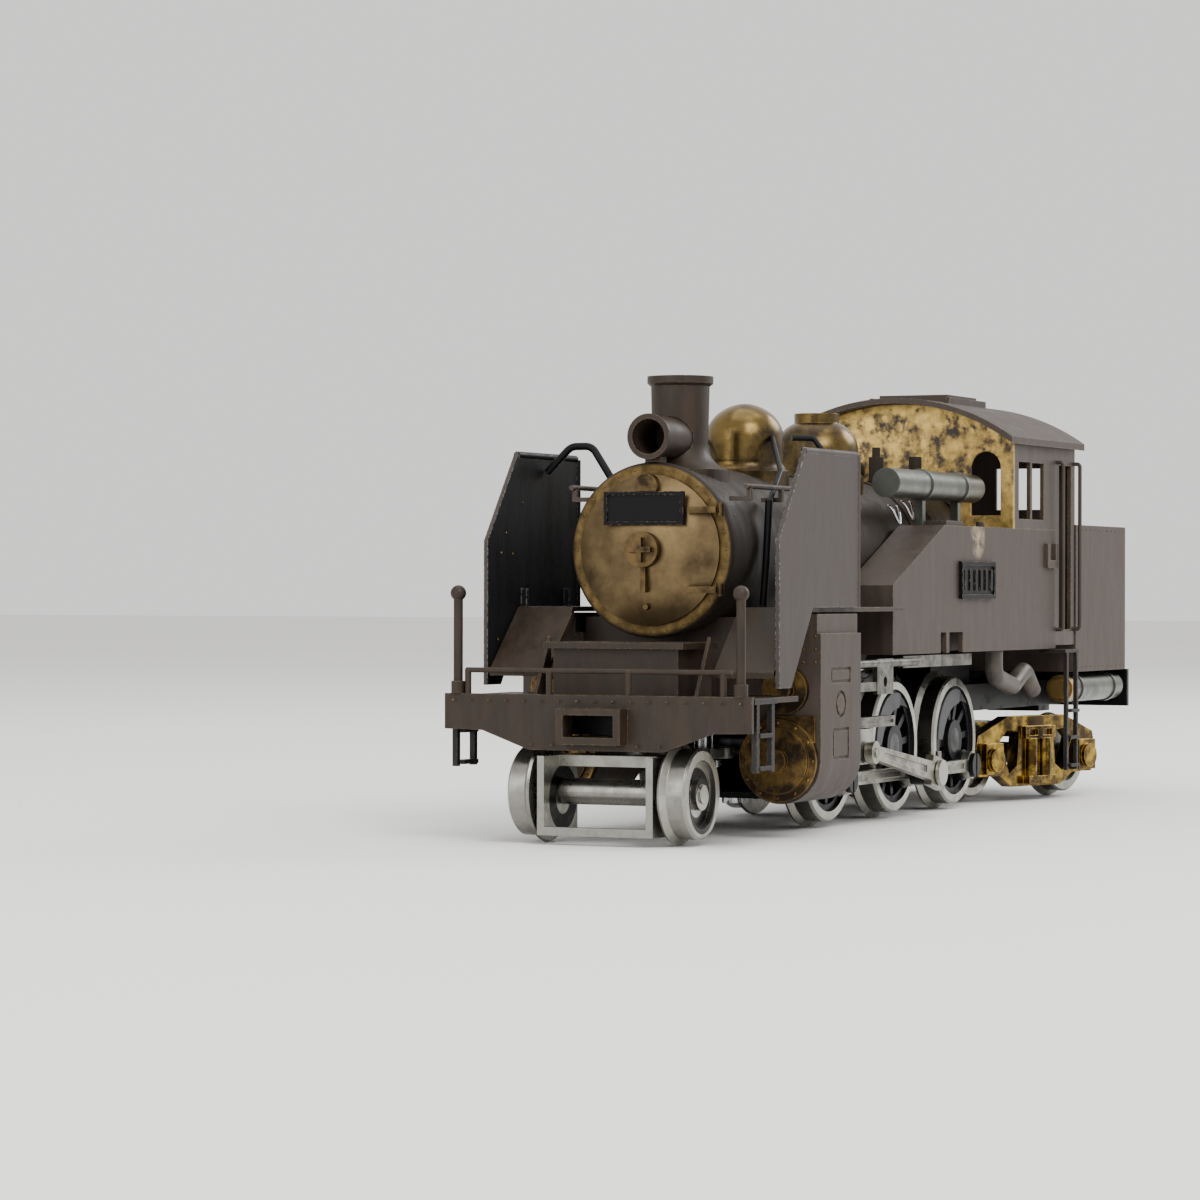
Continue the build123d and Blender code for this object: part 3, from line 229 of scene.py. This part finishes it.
def bare_metal(
    name, colour, tarnish, rough=(0.2, 0.42), amount=(0.35, 0.75), turned=False, scale=0.5, tread=0.0,
    dark_ring=None, brass_zone=None,
):
    """Handled metal: tarnish in clouds, brighter edges, fine tool marks."""
    kit = Nodes(name)
    clouds = kit.noise(scale, 5.0, 0.65)
    fine = kit.noise(4.0, 3.0, 0.6, (1, 1, 6.0) if not turned else (1, 5.0, 1))
    dull = kit.ramp(clouds, *amount)
    dull = kit.math("SUBTRACT", dull, kit.math("MULTIPLY", kit.edges(), 0.6))
    base = kit.mix(dull, colour, tarnish)
    if tread:
        rolled = kit.math("MULTIPLY", kit.math("SUBTRACT", 1.0, kit.sideways()), tread)
        base = kit.mix(rolled, base, (0.030, 0.029, 0.027))
    if dark_ring:
        ring = kit.math("MULTIPLY", kit.annulus(*dark_ring), kit.sideways())
        base = kit.mix(ring, base, (0.012, 0.012, 0.012))
    if brass_zone:
        base = kit.mix(brass_zone(kit), base, DULL_BRASS)
    roughness = kit.ramp(clouds, 0.3, 0.7, *rough)
    return kit.finish(base, 0.96, roughness, fine, 0.012)


def black_paint(name, colour=BLACK_PAINT, edge_metal=NICKEL, edge=0.25, gloss=0.38, bright=None):
    kit = Nodes(name)
    grain = kit.noise(3.0, 3.0, 0.6)
    dust = kit.ramp(kit.noise(0.35, 5.0, 0.65), 0.45, 0.8)
    lit = kit.mix(kit.math("MULTIPLY", dust, 0.4), colour, tuple(c * 2.0 + 0.006 for c in colour))
    rub = kit.math("MULTIPLY", kit.math("MULTIPLY", kit.edges(0.14), kit.ramp(grain, 0.5, 0.66)), edge)
    if bright:
        rub = kit.math("MAXIMUM", rub, kit.zone(*bright, 0.05))
    base = kit.mix(rub, lit, edge_metal)
    kit.shader.inputs["Specular IOR Level"].default_value = 0.12
    return kit.finish(base, rub, kit.ramp(dust, 0.0, 1.0, gloss, gloss + 0.25), grain, 0.015)


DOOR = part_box("smokebox_door")
DOOR_Z = (DOOR[0][2] + DOOR[1][2]) / 2 / MM
TANK_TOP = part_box("side_tank_left")[1][2] / MM
CAB_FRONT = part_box("cab_body")[1][0] / MM
PATCH_Z = TANK_TOP - 2.0

# positions on the model, in millimetres
DRIVER_Z = 8.55
BEAM_RIVETS_AHEAD = 2.6  # from the front coupler hole
CRANKPIN = (4.7, 15.4, 5.4)
PONY_X, PONY_Z = 64.4, 4.8
grey = worn_paint(
    "grey_brown_paint", GREY_PAINT, (0.40, 0.34, 0.24), edge=0.45, patches=(0.80, 0.88), gloss=0.5, dirt=0.82,
)
dark_steps = worn_paint(
    "dark_step_paint", (0.014, 0.012, 0.011), (0.22, 0.20, 0.17), edge=0.6, patches=(0.82, 0.9),
)
pipe_paint = worn_paint(
    "pipe_paint", (0.075, 0.064, 0.054), (0.30, 0.22, 0.13), edge=0.3, patches=(0.7, 0.84), gloss=0.36,
)
tank_grey = worn_paint(
    "tank_paint", GREY_PAINT, (0.46, 0.37, 0.25), edge=0.4, patches=(0.82, 0.9), gloss=0.5, dirt=0.82,
    zones=((lambda kit: kit.zone((-9.0, 15.0, PATCH_Z), 2.3, 0.7), 1.0),),
)
deflector_paint = worn_paint(
    "deflector_paint", (0.039, 0.031, 0.028), (0.34, 0.36, 0.32), edge=1.0, patches=(0.84, 0.92), gloss=0.5,
    dirt=0.85, black_zone=lambda kit: kit.band("Y", -16.98, 16.98, 0.03),
)
brown = worn_paint(
    "brown_paint", BROWN_PAINT, (0.24, 0.18, 0.10), edge=0.6, patches=(0.70, 0.84), gloss=0.45, dirt=0.7,
)
boiler_paint = worn_paint(
    "boiler_paint", UMBER_PAINT, (0.20, 0.14, 0.06), edge=0.5, patches=(0.62, 0.82), gloss=0.58, dirt=0.7,
)
smokebox_paint = worn_paint(
    "smokebox_paint", UMBER_PAINT, (0.17, 0.115, 0.046), edge=0.9, patches=(0.66, 0.84), gloss=0.62, dirt=0.7,
    solid=(lambda kit: kit.band("X", 54.7, 60.0, 0.05),),
)
dome_brass = bare_metal(
    "dome_brass", (0.17, 0.115, 0.036), (0.030, 0.022, 0.014), (0.22, 0.36), (0.32, 0.62), scale=0.14,
)
door_brass = bare_metal(
    "door_brass", (0.15, 0.105, 0.050), (0.036, 0.025, 0.014), (0.30, 0.42), (0.30, 0.70), scale=0.13,
)
fitting_brass = bare_metal(
    "fitting_brass", (0.10, 0.066, 0.028), (0.02, 0.014, 0.009), (0.3, 0.42), (0.35, 0.7), scale=0.5,
)
cab_paint = worn_paint(
    "cab_paint", GREY_PAINT, (0.66, 0.45, 0.14), edge=0.45, patches=(0.82, 0.9), gloss=0.42, dirt=0.82,
    zones=((lambda kit: kit.band("X", CAB_FRONT - 0.7, CAB_FRONT + 1.0, 0.1), 1.0),),
)
black = black_paint("chassis_black")
wheel_black = black_paint("wheel_centre_black", (0.004, 0.004, 0.005), (0.2, 0.2, 0.19), 0.15, 0.32)
plate_black = black_paint("plate_black", (0.003, 0.003, 0.0035), (0.35, 0.28, 0.19), 0.7, 0.5)
counterweight = black_paint("counterweight_grey", (0.045, 0.046, 0.05), (0.3, 0.3, 0.29), 0.3, 0.3)
nickel = bare_metal("nickel_silver", NICKEL, (0.24, 0.23, 0.20), (0.22, 0.4), (0.4, 0.85), True, tread=0.8)
pony_nickel = bare_metal(
    "pony_nickel", NICKEL, (0.22, 0.21, 0.18), (0.24, 0.4), (0.4, 0.85), True, tread=0.35,
    dark_ring=(PONY_X, PONY_Z, 1.75, 3.5),
)
rod_nickel = bare_metal("rod_nickel", (0.32, 0.31, 0.265), (0.11, 0.105, 0.085), (0.26, 0.42), (0.35, 0.8))
dull_nickel = bare_metal("dull_nickel", (0.18, 0.172, 0.145), (0.035, 0.033, 0.03), (0.3, 0.45), (0.3, 0.7))
polished = bare_metal(
    "polished_brass", BRIGHT_BRASS, (0.045, 0.025, 0.007), (0.10, 0.26), (0.26, 0.60), scale=0.42,
)
cover_brass = bare_metal(
    "cover_brass", (0.25, 0.155, 0.05), (0.028, 0.02, 0.014), (0.28, 0.45), (0.3, 0.6), scale=0.3,
)
grey_drum = bare_metal(
    "reservoir_grey", GREENISH_STEEL, (0.06, 0.062, 0.056), (0.32, 0.45), (0.35, 0.85), scale=0.3,
    brass_zone=lambda kit: kit.band("X", -47.4, -43.0, 0.2),
)
steel = bare_metal("plated_steel", (0.46, 0.47, 0.48), (0.2, 0.2, 0.2), (0.16, 0.3), (0.55, 0.9))
axle_steel = bare_metal("axle_steel", (0.10, 0.10, 0.10), (0.02, 0.02, 0.02), (0.35, 0.5), (0.3, 0.7))
bronze = bare_metal("bearing_bronze", (0.34, 0.20, 0.08), (0.11, 0.06, 0.03), (0.3, 0.5))
acetal = black_paint("acetal_gear", (0.40, 0.36, 0.28), (0.5, 0.46, 0.38), 0.1, 0.4)
lead = bare_metal("lead_ballast", (0.14, 0.14, 0.15), (0.07, 0.07, 0.075), (0.45, 0.65))
pin_black = black_paint("pin_wheel_black", (0.004, 0.004, 0.005), NICKEL, 0.15, 0.32, bright=(CRANKPIN, 1.6))

NODE_MATERIALS = {
    grey: ("bunker", "cylinder_block", "cab_roof", "handrails"),
    dark_steps: ("footsteps",),
    pipe_paint: ("injector_pipes",),
    tank_grey: ("side_tank_left", "side_tank_right"),
    deflector_paint: ("smoke_deflectors",),
    brown: ("front_deck", "front_beam", "running_boards", "front_rails", "chimney", "headlight"),
    boiler_paint: ("boiler_shell", "boiler_fittings", "backhead"),
    smokebox_paint: ("smokebox_front",),
    dome_brass: ("steam_dome", "sand_dome"),
    door_brass: ("smokebox_door",),
    fitting_brass: ("door_fittings",),
    cab_paint: ("cab_body",),
    black: ("main_frame", "keeper_plate", "rear_beam", "boiler_pipes", "motor_case"),
    wheel_black: ("driver_1_centres", "driver_3_centres"),
    pin_black: ("driver_2_centres",),
    plate_black: ("number_plates",),
    nickel: ("driver_1_tyres", "driver_2_tyres", "driver_3_tyres", "bogie_wheelset_1", "bogie_wheelset_2"),
    pony_nickel: ("pony_wheelset", "pony_frame"),
    rod_nickel: (
        "side_rod_left", "side_rod_right", "main_rod_left", "main_rod_right",
        "crosshead_left", "crosshead_right",
    ),
    dull_nickel: ("slide_bars", "valve_gear"),
    polished: ("bogie_frame",),
    cover_brass: ("cylinder_covers",),
    grey_drum: ("air_reservoirs",),
    steel: ("fixing_screws", "motor_shaft", "worm"),
    axle_steel: ("driver_1_axle", "driver_2_axle", "driver_3_axle"),
    bronze: ("axle_bearings",),
    acetal: ("worm_gear",),
    lead: ("boiler_weight",),
}
for material, names in NODE_MATERIALS.items():
    for name in names:
        mesh = frame["nodes"][name].data
        mesh.materials.clear()
        mesh.materials.append(material)


# ---------------------------------------------------------------- added pieces
def new_piece(name, mesh_builder, material, body="root", smooth=True):
    """Makes one mesh object from a bmesh builder and rides it on a body."""
    work = bmesh.new()
    mesh_builder(work)
    bmesh.ops.recalc_face_normals(work, faces=work.faces)
    mesh = bpy.data.meshes.new(name)
    work.to_mesh(mesh)
    work.free()
    for face in mesh.polygons:
        face.use_smooth = smooth
    mesh.materials.append(material)
    piece = bpy.data.objects.new(name, mesh)
    scene.collection.objects.link(piece)
    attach(piece, body)
    return piece


def rivet(work, at, normal, radius=0.2, height=0.14):
    """Half-round rivet head, its open foot sunk in the plate; sizes in millimetres."""
    turn = Vector((0, 0, 1)).rotation_difference(Vector(normal)).to_matrix().to_4x4()
    place = Matrix.Translation(Vector(at) * MM) @ turn
    rings = 3
    segments = 10
    levels = []
    for ring in range(rings):
        angle = math.pi / 2 * ring / rings
        levels.append([
            work.verts.new(place @ Vector((
                radius * MM * math.cos(angle) * math.cos(2 * math.pi * s / segments),
                radius * MM * math.cos(angle) * math.sin(2 * math.pi * s / segments),
                height * MM * math.sin(angle),
            )))
            for s in range(segments)
        ])
    crown = work.verts.new(place @ Vector((0, 0, height * MM)))
    foot = work.verts.new(place @ Vector((0, 0, 0)))
    for low, high in zip(levels, levels[1:]):
        for s in range(segments):
            work.faces.new((low[s], low[(s + 1) % segments], high[(s + 1) % segments], high[s]))
    for s in range(segments):
        work.faces.new((levels[-1][s], levels[-1][(s + 1) % segments], crown))
        work.faces.new((levels[0][(s + 1) % segments], levels[0][s], foot))


def row(start, end, count):
    """Evenly spaced points from start to end."""
    a, b = Vector(start), Vector(end)
    return [a.lerp(b, i / (count - 1)) for i in range(count)]


def beam_rivets(work):
    x = frame["record"]["mounts"][0]["pos_m"][0] / MM + BEAM_RIVETS_AHEAD
    for point in row((x, -16.6, 15.2), (x, 16.6, 15.2), 17):
        rivet(work, point, (1, 0, 0), 0.16, 0.1)
    for point in row((x, -7.4, 10.6), (x, 7.4, 10.6), 7):
        rivet(work, point, (1, 0, 0), 0.16, 0.1)


def ring_rivets(work):
    """Studs round the smokebox ring and the front row on its barrel."""
    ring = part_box("smokebox_front")
    x = ring[1][0] / MM
    radius = (ring[1][1] - ring[0][1]) / 2 / MM
    for i in range(28):
        angle = 2 * math.pi * i / 28
        y, z = (radius - 0.72) * math.cos(angle), (radius - 0.72) * math.sin(angle)
        rivet(work, (x, y, DOOR_Z + z), (1, 0, 0), 0.13, 0.08)
    for i in range(10):
        angle = math.radians(24 + 132 * i / 9)
        for station in (37.2, 51.6):
            y, z = 9.3 * math.cos(angle), 9.3 * math.sin(angle)
            rivet(work, (station, y, DOOR_Z + z), (0, math.cos(angle), math.sin(angle)), 0.14, 0.08)


def deflector_rivets(work):
    """Five small bare heads on each inner face."""
    for side in SIDES:
        for x, z in ((52.0, 36.6), (56.0, 33.2), (57.2, 31.0), (54.4, 30.9), (58.0, 21.5)):
            rivet(work, (x, side * 16.9, z), (0, -side, 0), 0.17, 0.12)


def cylinder_rivets(work):
    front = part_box("cylinder_block")[1][0] / MM
    for side in SIDES:
        for i in range(12):
            angle = 2 * math.pi * i / 12
            at = (front + 0.7, side * 13.1 + 4.05 * math.cos(angle), 8.55 + 4.05 * math.sin(angle))
            rivet(work, at, (1, 0, 0), 0.2, 0.14)
        for z in (19.2, 20.6, 22.0):
            for y in (11.3, 12.8, 14.3, 15.8, 17.2):
                rivet(work, (front, side * y, z), (1, 0, 0), 0.15, 0.1)
        for i in range(8):
            angle = 2 * math.pi * i / 8
            at = (43.8 + 0.8 * math.cos(angle), side * 17.83, 14.6 + 0.8 * math.sin(angle))
            rivet(work, at, (0, side, 0), 0.12, 0.0001)


def bunker_rivets(work):
    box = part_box("bunker")
    rear, front = box[0][0] / MM, box[1][0] / MM
    for side in SIDES:
        for point in row((rear + 2.4, side * 15.2, 17.0), (front - 0.8, side * 15.2, 17.0), 12):
            rivet(work, point, (0, side, 0), 0.13, 0.06)
        for point in row((rear + 2.4, side * 15.2, 35.0), (front - 0.8, side * 15.2, 35.0), 12):
            rivet(work, point, (0, side, 0), 0.13, 0.06)
    for y in (-12.0, 12.0):
        for point in row((rear, y, 18.0), (rear, y, 34.6), 9):
            rivet(work, point, (-1, 0, 0), 0.13, 0.06)


def crescent(work, axle_x, side, angle):
    """Balance weight set into the wheel opposite its crankpin."""
    outer, chord, spread = 6.35, 4.1, math.radians(52)
    near, far = side * 10.15, side * 10.42
    outline = []
    for i in range(17):
        turn = angle - spread + 2 * spread * i / 16
        outline.append((outer * math.cos(turn), outer * math.sin(turn)))
    for i in range(9):
        turn = angle + spread * (1 - i / 4)
        reach = chord / max(math.cos((turn - angle) * 0.55), 0.3)
        outline.append((reach * math.cos(turn), reach * math.sin(turn)))
    faces = []
    for y in (near, far):
        faces.append([work.verts.new(Vector((axle_x + u, y, DRIVER_Z + v)) * MM) for u, v in outline])
    count = len(outline)
    for i in range(count):
        j = (i + 1) % count
        work.faces.new((faces[0][i], faces[0][j], faces[1][j], faces[1][i]))
    work.faces.new(faces[1])
    work.faces.new(list(reversed(faces[0])))
    rim = [e for e in work.edges if all(v in faces[1] for v in e.verts)]
    bmesh.ops.bevel(work, geom=rim, offset=0.08 * MM, segments=2, affect="EDGES")


for number, axle_x in ((1, 28.06), (2, 7.0), (3, -14.06)):
    for side, crank in ((1, 234), (-1, 144)):
        new_piece(
            "balance_weight_%d_%s" % (number, "left" if side > 0 else "right"),
            lambda work, at=axle_x, s=side, c=crank: crescent(work, at, s, math.radians(c + 180)),
            counterweight, body="driver_%d" % number, smooth=False,
        )

new_piece("beam_rivets", beam_rivets, brown)
new_piece("smokebox_rivets", ring_rivets, door_brass)
new_piece("deflector_rivets", deflector_rivets, cover_brass)
new_piece("cylinder_rivets", cylinder_rivets, cover_brass)
new_piece("bunker_rivets", bunker_rivets, grey)


def tube_mesh(work, points, radius, segments=10):
    """Round wire through points (millimetres), with closed ends."""
    rings = []
    path = [Vector(p) * MM for p in points]
    for i, at in enumerate(path):
        ahead = path[min(i + 1, len(path) - 1)]
        behind = path[max(i - 1, 0)]
        along = (ahead - behind).normalized()
        turn = Vector((0, 0, 1)).rotation_difference(along).to_matrix()
        rings.append([
            work.verts.new(at + turn @ Vector((
                radius * MM * math.cos(2 * math.pi * s / segments),
                radius * MM * math.sin(2 * math.pi * s / segments), 0,
            )))
            for s in range(segments)
        ])
    for low, high in zip(rings, rings[1:]):
        for s in range(segments):
            work.faces.new((low[s], low[(s + 1) % segments], high[(s + 1) % segments], high[s]))
    work.faces.new(list(reversed(rings[0])))
    work.faces.new(rings[-1])


def wire_ties(work):
    """Two bright wires bent under the feed-water drum."""
    for x, drop in ((4.2, 0.0), (8.6, 0.6)):
        points = []
        for i in range(13):
            t = i / 12
            bulge = math.sin(math.pi * t)
            points.append((x - 3.0 * t, 9.9 + bulge, 37.6 - drop - 2.2 * bulge ** 2))
        tube_mesh(work, points, 0.16)


new_piece("drum_wires", wire_ties, steel)

# ---------------------------------------------------------------- camera, floor and light
CAMERA_AT = (438.1, 171.7, 26.9)  # millimetres, ahead of the model on its left
HEADING, PITCH, ROLL = 205.06, 0.175, 0.118  # degrees
LENS = 116.18
SHIFT = (0.010, -0.0178)

camera_data = bpy.data.cameras.new("camera")
camera_data.lens = LENS
camera_data.sensor_width = 36.0
camera_data.shift_x, camera_data.shift_y = SHIFT
camera_data.clip_start = 0.01
camera = bpy.data.objects.new("camera", camera_data)
scene.collection.objects.link(camera)
heading, pitch, roll = (math.radians(v) for v in (HEADING, PITCH, ROLL))
forward = Vector((math.cos(heading) * math.cos(pitch), math.sin(heading) * math.cos(pitch), math.sin(pitch)))
camera.rotation_mode = "QUATERNION"
level = forward.to_track_quat("-Z", "Y")
camera.rotation_quaternion = level @ Matrix.Rotation(roll, 4, "Z").to_quaternion()
camera.location = Vector(CAMERA_AT) * MM
scene.camera = camera


def floor_mesh(work):
    size = 3.0
    corners = [work.verts.new((x * size, y * size, 0.0)) for x, y in ((-1, -1), (1, -1), (1, 1), (-1, 1))]
    work.faces.new(corners)


floor_kit = Nodes("pale_floor")
floor_tone = floor_kit.mix(floor_kit.noise(0.004, 3.0), (0.80, 0.80, 0.79), (0.84, 0.84, 0.83))
floor_material = floor_kit.finish(floor_tone, 0.0, 0.8, floor_kit.noise(0.05))
work = bmesh.new()
floor_mesh(work)
floor_data = bpy.data.meshes.new("floor")
work.to_mesh(floor_data)
work.free()
floor_data.materials.append(floor_material)
floor = bpy.data.objects.new("floor", floor_data)
scene.collection.objects.link(floor)


def area_light(name, at, target, size, watts, colour=(1, 1, 1)):
    data = bpy.data.lights.new(name, "AREA")
    data.shape = "RECTANGLE"
    data.size, data.size_y = size
    data.energy = watts
    data.color = colour
    light = bpy.data.objects.new(name, data)
    light.location = at
    light.rotation_euler = (Vector(target) - Vector(at)).to_track_quat("-Z", "Y").to_euler()
    scene.collection.objects.link(light)


CENTRE = (0.0, 0.0, 0.025)
area_light("key", (0.42, 0.42, 0.50), CENTRE, (0.40, 0.40), 4.0, (1.0, 0.98, 0.95))
area_light("front_fill", (0.60, -0.15, 0.22), CENTRE, (0.45, 0.35), 1.2)
area_light("rear_rim", (-0.45, 0.30, 0.35), CENTRE, (0.35, 0.25), 2.0)
area_light("overhead", (0.0, 0.0, 0.60), CENTRE, (0.50, 0.50), 1.6)

world = bpy.data.worlds.new("studio")
scene.world = world
world.use_nodes = True
world.node_tree.nodes["Background"].inputs["Color"].default_value = (0.96, 0.945, 0.93, 1.0)
world.node_tree.nodes["Background"].inputs["Strength"].default_value = 1.15
